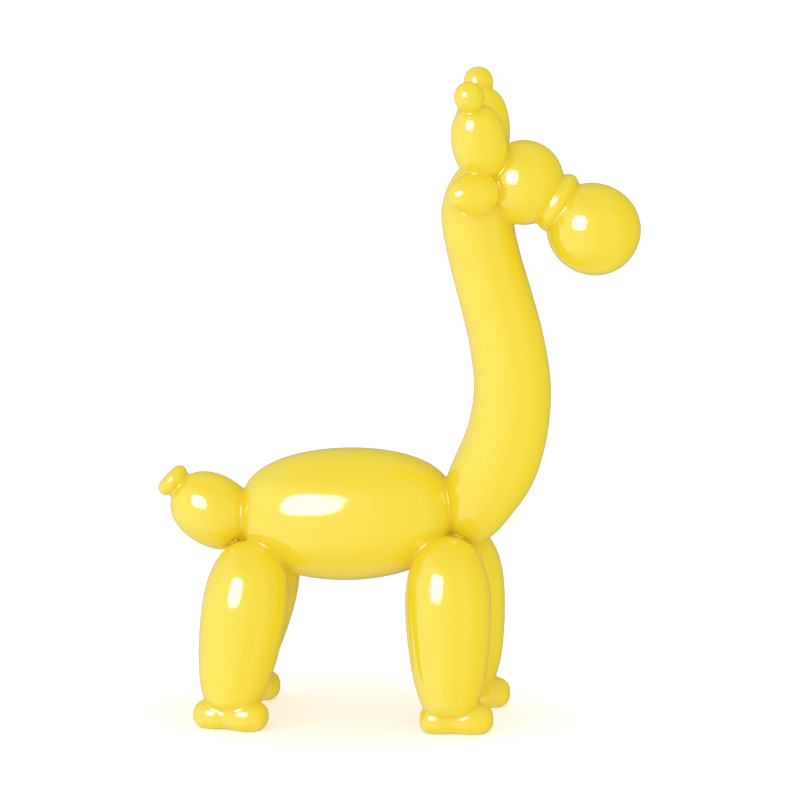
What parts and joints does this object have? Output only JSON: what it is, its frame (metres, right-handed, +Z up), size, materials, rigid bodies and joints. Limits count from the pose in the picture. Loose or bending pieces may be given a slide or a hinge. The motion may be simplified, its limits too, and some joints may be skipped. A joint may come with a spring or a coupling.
{
  "type": "balloon giraffe statue",
  "caption": "Glossy yellow cast figurine of a giraffe twisted from balloons, with a long curved neck, round muzzle, ball-tipped horns and knotted tail.",
  "frame": {"origin": "middle of the bounding box, on the plane that the feet stand on", "axes": "+Z up, +X towards the head, +Y towards the giraffe's own left side"},
  "size_m": [0.2616, 0.102, 0.3539],
  "materials": {
    "yellow_lacquer": "high-gloss yellow lacquer over cast resin"
  },
  "bodies": {
    "root": {"balloon_giraffe": "yellow_lacquer"}
  },
  "joints": []
}
